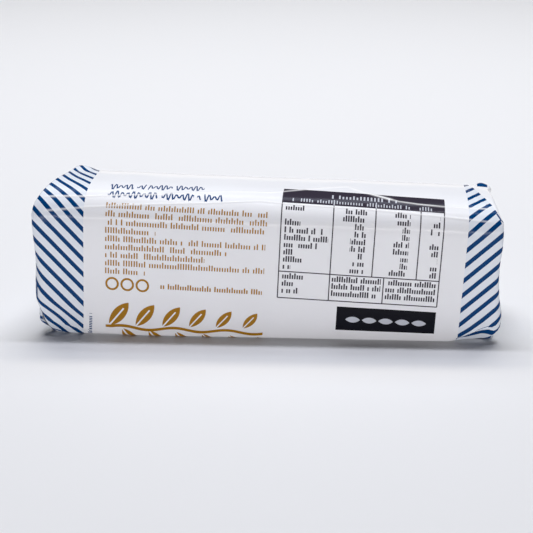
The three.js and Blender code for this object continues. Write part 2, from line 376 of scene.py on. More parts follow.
    def settle(self, column, station):
        """Move the front's lowest columns so that one of them runs along the crease."""
        if column.panel != "front" or column.v > CREASE_SPREAD_TOP:
            return column
        x = (station.end or 2 * station.along - 1) * (self.half_length - END_EDGE)
        crease = self.toe_at(x).crease
        foot = self.foot_corner + CORNER_GAP / 2
        if column.v < CREASE_COLUMN:
            v = blend(foot, crease, (column.v - foot) / (CREASE_COLUMN - foot))
        else:
            share = (column.v - CREASE_COLUMN) / (CREASE_SPREAD_TOP - CREASE_COLUMN)
            v = blend(crease, CREASE_SPREAD_TOP, share)
        y, z = self.section_point(v)
        return column._replace(v=v, y=y, z=z)

    def corner_flap(self, column, station):
        """Bulge of the left end's inner layer, which stands out past the front's cut-off corner."""
        if station.end > 0 or column.panel != "front":
            return 0.0
        out, place, tall = CORNER_FLAP
        grown = smooth_ramp(station.turn, CORNER_FLAP_TURN, math.pi / 2)
        left = 1 - smooth_ramp(station.inward, *CORNER_FLAP_GOES)
        return out * grown * left * bump(column.z - place, tall)

    def corner_marks(self, column, station):
        """Shares of the painted shade in the gap and of the ink at the left end's inner layer."""
        if station.end >= 0 or column.panel != "front" or station.inward > 0.05:
            return 0.0, 0.0
        height = self.settle(column, station).z
        in_shade_span, in_ink = (low < height < high for low, high in (PAINTED_GAP_SHADE_SPAN, CORNER_INK_SPAN))
        # Painted shade: slate painted into the gap along the front's cut-off edge
        painted_shade = in_shade_span * bump(station.turn - CORNER_FLAP_TURN, PAINTED_GAP_SHADE_TURN)
        return painted_shade, float(in_ink and station.turn > CORNER_INK_TURN)

    def point(self, column, station):
        """Place of the film on the pack, in millimetres."""
        end, along, turn, inward, over, under = station
        column = self.settle(column, station)
        edge = self.edge_radius(column, end or 1)
        y = column.y * (1 - edge * (1 - math.cos(turn)) / self.half_depth)
        level_shrink = END_EDGE * (1 - math.cos(turn)) / self.half_height
        z = self.half_height + (column.z - self.half_height) * (1 - level_shrink)
        flap = self.corner_flap(column, station)
        if inward > 0:
            rim = self.rim_inset(column, end)
            fold_height = self.fold_height(column)
            shift = self.slide_shift(column, inward, y, z, fold_height) if column.slide else (0.0, 0.0)
            y = y * (1 - inward) + shift[0]
            z = blend(z, fold_height, inward) + shift[1]
            depth = self.layer_depth(column.layer, inward)
            if column.panel == "front":
                depth = FLAP_STEP * under
                if over > 0:
                    y = OVERHANG * over
                    z = blend(z, self.half_height, OVERHANG_LEAN * over)
            x = end * (self.half_length - self.slant(y, z, end) - rim * (1 - inward) ** 3 - depth + flap)
        elif turn > 0:
            x = end * (self.rim_reach(column, end) - edge * (1 - math.sin(turn)) + flap)
        else:
            reach = [self.rim_reach(column, side) - self.edge_radius(column, side) for side in (-1, 1)]
            x = blend(-reach[0], reach[1], along)
        y += self.toe_shift(x, y, z)
        tall = 1 - self.height_fall * x / self.half_length
        z = z * tall + self.pleat_rise(x, column.y, column.z) * (1 - inward)
        return Vector((x, y, z))

    def slide_shift(self, column, inward, y, z, fold_height):
        """Shift of a fold's hidden layers under their flap, square to the flap's slanting edge."""
        under = Vector((z - fold_height, -y)).normalized()
        if under.y * (self.half_height - (z + fold_height) / 2) < 0:
            under.negate()
        there = smooth_ramp(inward, 0.0, SLIDE_FULL) * (1 - smooth_ramp(inward, SLIDE_GOES, 1.0))
        return under.x * column.slide * there, under.y * column.slide * there

    def film_place(self, column, station):
        """Flat film coordinates (u, v) of the same place, in millimetres."""
        end, turn, inward = station.end, station.turn, station.inward
        place = self.point(column, station)
        column = self.settle(column, station)
        shift = self.toe_print(place.x, column) + self.top_print(place.x, column)
        column = column._replace(v=column.v + shift)
        if end == 0:
            return place.x, column.v
        u = self.rim_reach(column, end) + self.edge_radius(column, end) * (turn - 1)
        if inward == 0:
            return end * u, column.v
        z = place.z / (1 - self.height_fall * place.x / self.half_length)
        if column.panel in ("top", "base"):
            upwards, travelled, moved = column.panel == "top", column.z - z, place.y - column.y
        else:
            upwards, travelled, moved = column.y < 0, column.y - place.y, z - column.z
        return end * (u + abs(travelled)), column.v + (moved if upwards else -moved)


def panel_arcs(start, end, step):
    """Evenly spaced arcs from start to end, both included, with finer steps over the shoulder."""
    arcs = [start]
    while arcs[-1] < end:
        fine = SHOULDER_SPAN[0] < arcs[-1] < SHOULDER_SPAN[1]
        arcs.append(arcs[-1] + (SHOULDER_STEP if fine else step))
    if end - arcs[-2] < step / 3:
        arcs.pop(-2)
    arcs[-1] = end
    return arcs


def fold_columns(form, corner, flap_layer, flap_first):
    """The hidden layers of film at one corner: under the flap's edge and back out as the tuck."""
    steps = ((0.2, 0.12, 0.0), (0.4, 0.5, FOLD_SLIDE), (0.6, 1.0, FOLD_SLIDE), (0.8, 1.0, 0.6))
    columns = []
    for share, sink, slide in steps:
        place = share if flap_first else 1 - share
        v = corner + CORNER_GAP * (place - 0.5)
        y, z = form.section_point(v)
        layer = blend(flap_layer, 2.0, sink)
        columns.append(Column("fold", v, y, z, slide, layer))
    return columns if flap_first else columns[::-1]


def film_columns(form):
    """Columns round the pack, from the middle of the base up the front and back to the same place."""
    start, end = form.outline[0][0], form.outline[-1][0]
    middle = 2 * form.crest
    foot, shoulder = form.foot_corner, form.shoulder_corner
    panels = (("base", 2.0), ("front", 0.0), ("top", 2.0), ("back", 1.0), ("base", 2.0))
    edges = (start, foot, shoulder, middle - shoulder, middle - foot, end)
    columns = []
    for place, (panel, layer) in enumerate(panels):
        low = edges[place] + (CORNER_GAP / 2 if place > 0 else 0)
        high = edges[place + 1] - (CORNER_GAP / 2 if place < 4 else 0)
        arcs = panel_arcs(low, high, COLUMN_STEP)
        if panel == "front":
            arcs = panel_arcs(low, CREASE_COLUMN - CREASE_CLEAR, CREASE_FINE_STEP)
            arcs += panel_arcs(CREASE_COLUMN, high, COLUMN_STEP)
        for v in arcs:
            y, z = form.section_point(v)
            columns.append(Column(panel, v, y, z, 0.0, layer))
        if place < 4:
            flap_first = panel in ("front", "back")
            flap_layer = layer if flap_first else panels[place + 1][1]
            columns += fold_columns(form, edges[place + 1], flap_layer, flap_first)
    return columns


def film_stations():
    """Stations from the fold line of the left end, along the pack, to the fold line of the right end."""
    def end_stations(end):
        quarter = math.pi / 2
        turned = [Station(end, 0.0, quarter * step / TURN_STEPS) for step in range(1, TURN_STEPS + 1)]
        shares = [(step / INWARD_STEPS) ** 1.5 for step in range(1, INWARD_STEPS + 1)]
        inward = [Station(end, 0.0, quarter, share) for share in shares]
        return turned + inward + [Station(end, 0.0, quarter, 1.0, *edge) for edge in FLAP_EDGE]

    barrel = [Station(0, step / BARREL_STEPS) for step in range(BARREL_STEPS + 1)]
    return end_stations(-1)[::-1] + barrel + end_stations(1)


# Unevenness of the film: two sizes of swell and their shares, where the crinkled ends start and are full,
# heights over which it all grows off the floor, two sizes of ridge at the ends, each along, across, its draw
# and its share, and their mean
SWELLS = ((26.0, 1.0), (11.0, 0.4))
CRINKLED = (52.0, 68.0)
OFF_FLOOR = (0.2, 4.0)
RIDGES = ((5.5, 8.0, 3.0, 0.7), (2.2, 3.4, 9.0, 0.3))
RIDGE_MEAN = 0.4

# Creases of the film: points (u, v) of a path, width and height in millimetres
CREASES = (
    (((-66, 38.2), (-53, 39.7), (-33, 41.5), (-11, 43.1), (-2, 44.1), (12, 43.1), (32, 42.4), (53, 40.9),
      (66, 39.8)), 0.3, 0.15),
    (((-66, 42.7), (-53, 43.5), (-33, 45.6), (-12, 48.7), (1, 49.2), (12, 53.0), (19, 55.5), (24, 57.4),
      (29, 52.4), (34, 49.6), (39, 47.0), (45, 45.8), (53, 45.1), (66, 44.7)), 0.3, 0.14),
    (((-71, 37.6), (-67.5, 35.2), (-63.5, 33.4)), 0.5, 0.16),
    (((60.5, 56.0), (64.0, 48.5), (67.5, 43.5), (70.5, 39.5)), 0.4, 0.14),
)

# Painted highlight: white painted into the ink along the ridges of the two long creases, where the gloss film
# would show a reflection of the lights: path, width, share. Then how uneven that is, and its patches, along,
# across and their draw
PAINTED_HIGHLIGHTS = (
    (CREASES[0][0], 0.26, 0.6),
    (CREASES[1][0], 0.36, 0.75),
    (((26.5, 54.6), (31.0, 51.4), (36.5, 48.2)), 0.7, 0.6),
)
SHINE_UNEVEN = 0.35
SHINE_PATCHES = (7.0, 9.0, 21.0)


def crease_height(u, v, creases=CREASES):
    """Height that the nearest creases give the film at one place."""
    height = 0.0
    for path, width, rise in creases:
        nearest = 4 * width
        for (u0, v0), (u1, v1) in zip(path, path[1:]):
            if not (min(u0, u1) - nearest < u < max(u0, u1) + nearest):
                continue
            run = Vector((u1 - u0, v1 - v0))
            share = min(max(Vector((u - u0, v - v0)).dot(run) / run.length_squared, 0.0), 1.0)
            nearest = min(nearest, math.dist((u, v), (u0 + run.x * share, v0 + run.y * share)))
        height += rise * math.exp(-((nearest / width) ** 2)) if nearest < 4 * width else 0.0
    return height


def painted_crease_highlight(u, v):
    """Share of painted highlight at one place: white painted into the ink, most on the ridge of a long
    crease, uneven along it.
    """
    along, across, draw = SHINE_PATCHES
    uneven = 1.0 + SHINE_UNEVEN * noise.noise(Vector((u / along, v / across, draw)))
    return min(crease_height(u, v, PAINTED_HIGHLIGHTS) * uneven, 1.0)


def film_relief(place, film, unevenness, crinkle):
    """Swelling of the soft cheese, crinkles towards the ends and the film's creases, in millimetres."""
    u, v = film
    swell = sum(share * noise.noise(place / size) for size, share in SWELLS)
    ridges = sum(share * (1 - 2 * abs(noise.noise(Vector((u / along, v / across, draw)))))
                 for along, across, draw, share in RIDGES)
    crinkles = (ridges - RIDGE_MEAN) * smooth_ramp(abs(place.x), *CRINKLED)
    return unevenness * swell + crinkle * crinkles + crease_height(u, v)


def wrap_film(form, sizes):
    """Wrap a flat grid of film round the pack, fold its ends in and close it."""
    columns, stations = film_columns(form), film_stations()
    film = bmesh.new()
    bmesh.ops.create_grid(film, x_segments=len(stations) - 1, y_segments=len(columns) - 1, size=1.0)
    film_map = film.loops.layers.uv.new("film")
    # Shares per point of the painted crease highlight, of the painted shade in the corner gap, and of the
    # corner's ink
    marks = [film.verts.layers.float.new(name) for name in ("painted_crease_highlight", "painted_gap_shade", "corner_ink")]
    flat = {}
    for vertex in film.verts:
        station = stations[round((vertex.co.x + 1) / 2 * (len(stations) - 1))]
        column = columns[round((vertex.co.y + 1) / 2 * (len(columns) - 1))]
        flat[vertex] = form.film_place(column, station)
        for mark, share in zip(marks, (painted_crease_highlight(*flat[vertex]), *form.corner_marks(column, station))):
            vertex[mark] = share
        vertex.co = form.point(column, station)
    for face in film.faces:
        for loop in face.loops:
            loop[film_map].uv = flat[loop.vert]
    film.normal_update()
    outward = sum(face.normal.dot(face.calc_center_median() - Vector((0, 0, form.half_height)))
                  for face in film.faces)
    if outward < 0:
        bmesh.ops.reverse_faces(film, faces=film.faces)
        film.normal_update()
    for vertex in film.verts:
        relief = film_relief(vertex.co, flat[vertex], sizes.unevenness / MM, sizes.crinkle / MM)
        vertex.co += vertex.normal * (relief * smooth_ramp(vertex.co.z, *OFF_FLOOR))
    bmesh.ops.translate(film, vec=(-form.middle, 0.0, 0.0), verts=film.verts)
    bmesh.ops.scale(film, vec=(MM, MM, MM), verts=film.verts)
    bmesh.ops.remove_doubles(film, verts=film.verts, dist=WELD * MM)
    bmesh.ops.dissolve_degenerate(film, edges=film.edges, dist=SLIVER * MM)
    return film


def add_node(tree, kind, inputs=(), **settings):
    """Add one node, give it its settings, and set or link its inputs in order or by name.

    The kind comes without its prefix, and an operation's name makes a math node. A node among the inputs
    stands for its first output.
    """
    if kind.isupper():
        kind, settings["operation"] = "Math", kind
    node = tree.nodes.new("ShaderNode" + kind)
    for name, value in settings.items():
        setattr(node, name, value)
    for key, value in inputs.items() if isinstance(inputs, dict) else enumerate(inputs):
        if isinstance(value, bpy.types.Node):
            value = value.outputs[0]
        if isinstance(value, bpy.types.NodeSocket):
            tree.links.new(value, node.inputs[key])
        else:
            node.inputs[key].default_value = value
    return node


def any_of(add, *masks):
    """Ink where any of the masks prints."""
    return reduce(lambda joined, mask: add("MAXIMUM", (joined, mask)), masks)


def all_of(add, *masks):
    """Ink where all of the masks print."""
    return reduce(lambda joined, mask: add("MULTIPLY", (joined, mask)), masks)


def band(add, place, low, high):
    """1 where a coordinate lies between two values."""
    return add("COMPARE", (place, (low + high) / 2, (high - low) / 2))


def box(add, p, q, span_p, span_q):
    """A filled upright box of ink."""
    return all_of(add, band(add, p, *span_p), band(add, q, *span_q))


def line(add, u, v, start, end, width):
    """A straight line of ink between two places of the film."""
    run = Vector(end) - Vector(start)
    along = run.normalized()
    across = Vector((-along.y, along.x))
    bands = []
    for way, low, high in ((along, 0.0, run.length), (across, -width / 2, width / 2)):
        east = add("MULTIPLY_ADD", (u, way.x, -way.dot(Vector(start))))
        bands.append(band(add, add("MULTIPLY_ADD", (v, way.y, east)), low, high))
    return all_of(add, *bands)


def stripe_field(add, p, q, slope, pitch, peak):
    """Slanting stripes: slope, level pitch in millimetres and the phase of a stripe's middle."""
    tilted = add("MULTIPLY_ADD", (p, slope, q))
    phase = add("MULTIPLY_ADD", (tilted, 1 / pitch, 0.5 - peak))
    share = add("FRACT", (phase,))
    return band(add, share, 0.5 - STRIPE_SHARE / 2, 0.5 + STRIPE_SHARE / 2)


def tick_rows(add, p, q, ticks):
    """Rows of upright ticks, grouped by chance."""
    start, foot_line, pitch, lengths, slope, room, height, stroke, seed, ends = ticks
    level = add("MULTIPLY_ADD", (p, -slope, q))
    first = foot_line + height - slope * start
    down = add("MULTIPLY_ADD", (level, -1 / pitch, first / pitch))
    along = add("MULTIPLY_ADD", (p, 1 / room, -start / room))
    row, cell = (add("FLOOR", (place,)) for place in (down, along))
    in_row, in_cell = (add("FRACT", (place,)) for place in (down, along))
    where = add("CombineXYZ", (cell, row, seed))
    draw = add("TexWhiteNoise", {"Vector": where}, noise_dimensions="3D")
    chances = add("SeparateColor", (draw.outputs["Color"],)).outputs
    there = add("GREATER_THAN", (chances[0], TICK_BLANK))
    tall = add("GREATER_THAN", (chances[1], TICK_LOW))
    foot = height / pitch
    top = add("MULTIPLY_ADD", (tall, -TICK_DROP * foot, TICK_DROP * foot))
    below_top = add("GREATER_THAN", (in_row, top))
    above_foot = add("LESS_THAN", (in_row, foot))
    upright = band(add, in_cell, 0.5 - stroke / room / 2, 0.5 + stroke / room / 2)
    rows, longest = len(lengths), max(lengths)
    share = add("MULTIPLY_ADD", (row, 1 / rows, 0.5 / rows))
    ramp = add("ValToRGB", (share,))
    ramp.color_ramp.interpolation = "CONSTANT"
    stops = ramp.color_ramp.elements
    for place, length in enumerate(lengths):
        stop = stops[0] if place == 0 else stops.new(place / rows)
        stop.color = (length / longest,) * 3 + (1.0,)
    stops[-1].position, stops[-1].color = 1.0, (lengths[-1] / longest,) * 3 + (1.0,)
    reach = (-longest, start + longest) if ends else (longest, start)
    limit = add("MULTIPLY_ADD", (ramp, *reach))
    inside = add("GREATER_THAN" if ends else "LESS_THAN", (p, limit))
    block = box(add, p, row, (start, start + longest), (-0.2, rows - 0.8))
    return all_of(add, upright, there, below_top, above_foot, inside, block)


def scribble(add, p, q, pen):
    """Wavy pen strokes. The wave swells along them, and its line stays evenly wide."""
    spans, foot_line, slope, height, stroke, turn = pen
    angle = add("MULTIPLY", (p, 2 * math.pi / turn))
    slow = add("MULTIPLY", (p, 2 * math.pi / (SCRIBBLE_SWELL * turn)))
    swell = add("MULTIPLY_ADD", (add("SINE", (slow,)), 0.15 * height, 0.35 * height))
    wave, steep = (add("MULTIPLY", (add(curve, (angle,)), swell)) for curve in ("SINE", "COSINE"))
    steep = add("MULTIPLY", (steep, 2 * math.pi / turn))
    run = add("CombineXYZ", (1.0, steep, 0.0))
    stretch = add("VectorMath", (run,), operation="LENGTH").outputs["Value"]
    level = add("MULTIPLY_ADD", (p, -slope, q))
    off = add("SUBTRACT", (level, wave))
    away = add("SUBTRACT", (off, foot_line + height / 2 - slope * spans[0][0]))
    away = add("DIVIDE", (add("ABSOLUTE", (away,)), stretch))
    ink = add("LESS_THAN", (away, stroke / 2))
    return all_of(add, ink, any_of(add, *(band(add, p, *span) for span in spans)))


def row_cells(add, p, q, start, middle, pitch):
    """The way along a row counted in cells, and the place in a cell from its middle."""
    along = add("MULTIPLY_ADD", (p, 1 / pitch, -start / pitch))
    across = add("MULTIPLY_ADD", (add("FRACT", (along,)), pitch, -pitch / 2))
    up = add("SUBTRACT", (q, middle))
    return along, add("CombineXYZ", (across, up, 0.0))


def ring_row(add, p, q, start, middle, count, pitch, radius, stroke):
    """A row of open rings."""
    place = row_cells(add, p, q, start, middle, pitch)[1]
    away = add("VectorMath", (place,), operation="LENGTH").outputs["Value"]
    ring = add("COMPARE", (away, radius, stroke / 2))
    return all_of(add, ring, band(add, p, start, start + count * pitch))


def leaf_row(add, p, q, leaves):
    """A row of pointed leaves at a tilt. A bare vein splits each from its stalk to three quarters of it."""
    start, middle, count, pitch, length, width, tilt, last, vein = leaves
    along, place = row_cells(add, p, q, start, middle, pitch)
    size = add("MULTIPLY_ADD", (add("FLOOR", (along,)), (last - 1) / (count - 1), 1.0))
    grow = add("DIVIDE", (1.0, size))
    scaled = add("VectorMath", {0: place, "Scale": grow}, operation="SCALE")
    turn = {"Vector": scaled, "Angle": -math.radians(tilt)}
    turned = add("VectorRotate", turn, rotation_type="Z_AXIS")
    parts = add("SeparateXYZ", (turned,)).outputs
    beside = add("GREATER_THAN", (add("ABSOLUTE", (parts[1],)), vein / 2))
    past_vein = add("GREATER_THAN", (parts[0], 0.25 * length))
    masks = [any_of(add, beside, past_vein), band(add, p, start, start + count * pitch)]
    radius = (length ** 2 + width ** 2) / (4 * width)
    for side in (-1, 1):
        arc = (turned, (0.0, side * (radius - width / 2), 0.0))
        moved = add("VectorMath", arc, operation="ADD")
        away = add("VectorMath", (moved,), operation="LENGTH").outputs["Value"]
        masks.append(add("LESS_THAN", (away, radius)))
    return all_of(add, *masks)


def sprig(add, p, q, leaves):
    """A waving stem with leaves above and below it."""
    start, middle, pitch = leaves.start, leaves.middle, leaves.pitch
    sway = add("SINE", (add("MULTIPLY", (p, math.pi / pitch)),))
    stem_line = add("MULTIPLY_ADD", (sway, STEM_SWAY, middle))
    stem = add("COMPARE", (q, stem_line, STEM_WIDTH / 2))
    stem = all_of(add, stem, band(add, p, start, start + leaves.count * pitch))
    off_stem = LEAF_OFF_STEM * leaves.length
    below = leaves._replace(start=start + pitch / 2, middle=middle - off_stem, tilt=-leaves.tilt)
    rows = [leaf_row(add, p, q, row) for row in (leaves._replace(middle=middle + off_stem), below)]
    return any_of(add, stem, *rows)


# Print in millimetres: p along the pack from its middle and q up the front, both askew on the film by this
PRINT_SKEW = 0.039

# Zones of stripes: p from and to, slope, level pitch and phase. Then a stripe's share of the pitch, the tint
# of the film between them, and the white of the painted highlight on the crease ridges
STRIPE_ZONES = ((-200.0, -55.75, 0.98, 4.58, -0.225), (58.1, 200.0, -1.06, 4.96, 0.209))
STRIPE_SHARE = 0.39
STRIPE_GROUND = "#F3F8FD"
PAINTED_HIGHLIGHT_WHITE = "#FFFFFF"

# Bare film at the front's upper corners: v and u at the foot of its slanting edge, the edge's slope, then the
# v where it starts at each end and where it stops
BARE_CORNER = (42.2, 68.4, 0.329)
BARE_CORNER_LOW = {-1: 42.2, 1: 38.3}
BARE_CORNER_END = 76.0

# Edges of printed film that show in the folds of the corners: places (u, v) from and to, and width
FOLD_LINES = (
    ((-70.1, 15.8), (-70.05, 11.4), 0.9), ((-66.4, -1.9), (-62.3, -2.8), 0.6),
    ((67.9, 42.7), (69.0, 40.7), 0.42), ((69.0, 40.7), (70.4, 39.8), 0.35), ((64.6, 61.2), (67.8, 61.0), 2.2),
)

# Wavy pen strokes: p of each from and to, line, slope, height, stroke, and a wave's length; then how many
# waves one swell takes
Scribble = namedtuple("Scribble", "spans line slope height stroke turn")
SCRIBBLES = (
    Scribble(((-49.3, -42.2), (-41.2, -38.6), (-37.8, -30.6), (-29.6, -21.0)), 46.0, 0.075, 2.9, 0.48, 1.5),
    Scribble(((-49.3, -34.4), (-33.2, -23.6), (-22.6, -21.4), (-20.6, -14.9)), 41.8, 0.036, 2.6, 0.54, 1.62),
)
BACK_SCRIBBLE = Scribble(((-34.0, -16.0), (-12.5, 9.0), (12.5, 34.0)), 30.5, 0.0, 4.6, 0.8, 2.7)
SCRIBBLE_SWELL = 3.3

# Rows of ticks: start, first line, pitch of the rows, length of each row, slope, a tick's room, height and
# stroke, seed, and whether the rows share their end in place of their start
Ticks = namedtuple("Ticks", "start line pitch lengths slope room height stroke seed ends", defaults=[False])
SMALL_ROWS = (48.2, 48.2, 48.2, 15.2, 48.0, 36.6, 30.0, 48.0, 12.2)
OCHRE_ROWS = (
    Ticks(-49.4, 37.9, 2.5, SMALL_ROWS, 0.012, 0.78, 1.8, 0.4, 11.0),
    Ticks(-32.6, 14.2, 3.0, (30.8,), 0.0, 0.74, 1.7, 0.44, 12.0),
)
UPRIGHT_ROW = Ticks(-6.0, 53.1, 3.0, (10.8,), 0.0, 0.7, 1.3, 0.42, 30.0)
BACK_ROWS = Ticks(-40.0, 8.2, 2.7, (80.0, 80.0, 62.0), 0.0, 0.78, 1.8, 0.42, 21.0)
HEADER_ROWS = (
    Ticks(17.2, 47.7, 3.2, (20.0,), -0.01, 1.05, 2.2, 0.5, 8.0),
    Ticks(5.6, 45.2, 3.2, (42.0,), -0.01, 0.82, 1.6, 0.36, 9.0),
)
GRID_TICKS = {"pitch": 2.31, "slope": 0.0, "room": 0.72, "height": 1.85, "stroke": 0.46}
GRID_ROWS = [Ticks(start, first, lengths=lengths, seed=float(seed), ends=ends, **GRID_TICKS)
             for seed, (start, first, ends, lengths) in enumerate((
                 (3.9, 41.55, False, (5.6, 0.1, 4.7, 11.6, 13.2, 11.6, 3.0, 5.8, 2.4)),
                 (21.0, 41.55, True, (6.6, 7.2, 3.6, 3.6, 4.6, 4.6, 2.2, 3.6, 4.4)),
                 (35.6, 41.55, True, (4.8, 4.4, 2.2, 2.2, 4.6, 4.6, 2.2, 2.2, 5.4)),
                 (47.0, 41.55, True, (0.1, 2.2, 2.8, 0.1, 2.8, 2.8, 0.1, 2.8, 2.2)),
                 (3.9, 19.95, False, (6.6, 3.5, 5.2)),
                 (18.8, 19.95, False, (14.8, 14.8, 14.8)),
                 (35.0, 19.95, False, (15.2, 15.2, 15.2)),
             ), 1)]

# Chances that a tick is left out and that it is a low one, and by how much of the height it is lower
TICK_BLANK = 0.13
TICK_LOW = 0.62
TICK_DROP = 0.32

# The table: lines, levels, uprights as p and q from and to, header, the strip of the header that is drawn up
# with the film, and the header's pale dividers
GRID_LINE = 0.34
GRID_LEVELS = (13.75, 22.25)
GRID_UPRIGHTS = ((2.9, 13.75, 44.3), (18.25, 13.75, 44.3), (50.9, 13.75, 44.3), (30.75, 22.25, 44.3),
                 (44.0, 22.25, 44.3), (34.4, 13.75, 22.25))
GRID_SPAN = (2.9, 50.9)
HEADER_SPAN = (44.3, 50.9)
HEADER_DRAWN_UP = ((2.8, 51.8), (51.0, 50.3), 2.8)
HEADER_DIVIDERS = ((18.25, 44.3, 46.9), (30.75, 44.3, 46.9))

# Ornaments: rings as start, middle, count, pitch, radius and stroke, the dark box, and rows of leaves
RINGS = (-49.4, 14.8, 3, 4.6, 1.75, 0.62)
DARK_BOX = ((21.0, 50.9), (3.9, 12.0))
Leaves = namedtuple("Leaves", "start middle count pitch length width tilt last vein")
FRONT_SPRIG = Leaves(-49.0, 1.2, 6, 8.0, 9.6, 3.9, 52, 0.72, 0.5)
BACK_SPRIG = Leaves(-24.0, 19.5, 6, 8.0, 9.6, 3.9, 52, 1.0, 0.5)
BOX_LEAVES = Leaves(23.5, 7.95, 5, 5.0, 4.4, 1.9, 0, 1.0, 0.0)
LEAF_OFF_STEM = 0.43
STEM_SWAY = 0.5
STEM_WIDTH = 0.9


def grid_print(add, p, q):
    """The table as three masks: lines and ticks, the dark header, and what is reversed out of the header."""
    half = GRID_LINE / 2

    def uprights(places):
        return [box(add, p, q, (at - half, at + half), span) for at, *span in places]

    levels = [box(add, p, q, GRID_SPAN, (at - half, at + half)) for at in GRID_LEVELS]
    ticks = [tick_rows(add, p, q, rows) for rows in GRID_ROWS]
    header = box(add, p, q, (GRID_SPAN[0] - half, GRID_SPAN[1] + half), HEADER_SPAN)
    header = any_of(add, header, line(add, p, q, *HEADER_DRAWN_UP))
    pale = [tick_rows(add, p, q, rows) for rows in HEADER_ROWS] + uprights(HEADER_DIVIDERS)
    return any_of(add, *levels, *uprights(GRID_UPRIGHTS), *ticks), header, any_of(add, *pale)


def bare_corners(add, u, v):
    """0 on the unprinted film outside a slanting line at both upper corners of the front, 1 elsewhere."""
    low, out, slope = BARE_CORNER
    off_middle = add("ABSOLUTE", (u,))
    sloped = add("MULTIPLY_ADD", (v, slope, off_middle))
    inside = add("LESS_THAN", (sloped, out + slope * low))
    left, right = (BARE_CORNER_LOW[end] / 2 for end in (-1, 1))
    start = add("MULTIPLY_ADD", (add("SIGN", (u,)), right - left, left + right))
    below = add("LESS_THAN", (v, start))
    beyond_crest = add("GREATER_THAN", (v, BARE_CORNER_END))
    return any_of(add, inside, below, beyond_crest)


def back_print(add, u, v, crest):
    """Navy, ochre and plum print of the back, upright when seen from there."""
    p = add("MULTIPLY", (u, -1.0))
    q = add("MULTIPLY_ADD", (v, -1.0, 2 * crest))
    return scribble(add, p, q, BACK_SCRIBBLE), sprig(add, p, q, BACK_SPRIG), tick_rows(add, p, q, BACK_ROWS)


def print_fields(add, crest):
    """The whole print as one mask for each ink, on the film's flat coordinates."""
    film = add("UVMap", uv_map="film")
    u, v = add("SeparateXYZ", (film,)).outputs[:2]
    p = add("MULTIPLY_ADD", (v, -PRINT_SKEW, u))
    q = add("MULTIPLY_ADD", (u, PRINT_SKEW, v))
    plain_corner = bare_corners(add, u, v)
    navy, ground = [], []
    for low, high, *stripes in STRIPE_ZONES:
        ground.append(all_of(add, plain_corner, band(add, p, low, high)))
        navy.append(all_of(add, stripe_field(add, p, q, *stripes), ground[-1]))
    navy += [line(add, u, v, *edge) for edge in FOLD_LINES]
    navy += [scribble(add, p, q, pen) for pen in SCRIBBLES]
    navy.append(tick_rows(add, q, add("MULTIPLY", (p, -1.0)), UPRIGHT_ROW))
    ochre = [tick_rows(add, p, q, rows) for rows in OCHRE_ROWS]
    ochre += [ring_row(add, p, q, *RINGS), sprig(add, p, q, FRONT_SPRIG)]
    back_navy, back_ochre, back_plum = back_print(add, u, v, crest)
    grid, header, reversed_out = grid_print(add, p, q)
    return {
        "ground": any_of(add, *ground),
        "navy": any_of(add, *navy, back_navy),
        "ochre": any_of(add, *ochre, back_ochre),
        "plum": any_of(add, grid, header, back_plum),
        "slate": box(add, p, q, *DARK_BOX),
        "pale": any_of(add, reversed_out, leaf_row(add, p, q, BOX_LEAVES)),
    }


# Patterns in millimetres: clouds of tone, and grain, drawn coarser than the real one so that it shows. Then
# the range of the clouds and the film's index of refraction
CLOUD_SIZE = 22.22
GRAIN_SIZE = 1.111
CLOUD_TONE = {"From Min": 0.3, "From Max": 0.7, "To Min": 0.965, "To Max": 1.0}
FILM_IOR = 1.49
SHARP_FOLD = math.radians(50)


def new_material(name):
    """A material with an empty tree, and the function that adds nodes to it."""
    material = bpy.data.materials.new(name)
    material.use_nodes = True
    material.node_tree.nodes.clear()
    return material, partial(add_node, material.node_tree)


def printed_polypropylene_film(colours, look, crest):
    """Polypropylene film, gravure printed: a glossy cool white with crisp inks, with a painted highlight
    whitening the crease ridges and painted shade in the gap at the left end's corner.
    """
    material, add = new_material("printed_polypropylene_film")
    place = add("TexCoord").outputs["Object"]
    cloud = add("TexNoise", {"Vector": place, "Scale": 1 / (CLOUD_SIZE * MM), "Detail": 3.0})
    tone = add("MapRange", {"Value": cloud, **CLOUD_TONE})
    colour = add("VectorMath", {0: colours.film, "Scale": tone}, operation="SCALE")
    fields = print_fields(add, crest)
    layers = [(fields.pop("ground"), linear(STRIPE_GROUND), "MULTIPLY")]
    layers += [(mask, getattr(colours, ink), "MIX") for ink, mask in fields.items()]
    # Laid over the print: white as a painted highlight on the crease ridges, slate as painted shade in the
    # corner gap, and navy ink on the corner's layer
    marks = {"corner_ink": colours.navy, "painted_gap_shade": colours.slate, "painted_crease_highlight": linear(PAINTED_HIGHLIGHT_WHITE)}
    for mark, tint in marks.items():
        layers.append((add("Attribute", attribute_name=mark).outputs["Fac"], tint, "MIX"))
    for mask, tint, mode in layers:
        inputs = {0: mask, 6: colour, 7: (*tint, 1.0)}
        colour = add("Mix", inputs, data_type="RGBA", blend_type=mode).outputs[2]
    grain = add("TexNoise", {"Vector": place, "Scale": 1 / (GRAIN_SIZE * MM), "Detail": 2.0})
    shader = add("BsdfPrincipled", {
        "Base Color": colour, "Roughness": look.roughness, "IOR": FILM_IOR, "Specular IOR Level": 0.15,
        "Normal": add("Bump", {"Height": grain, "Strength": 0.06, "Distance": 0.0001}),
    })
    add("OutputMaterial", {"Surface": shader})
    return material


def place_object(name, data):
    """Put an object with the data at the scene's origin."""
    item = bpy.data.objects.new(name, data)
    bpy.context.scene.collection.objects.link(item)
    return item


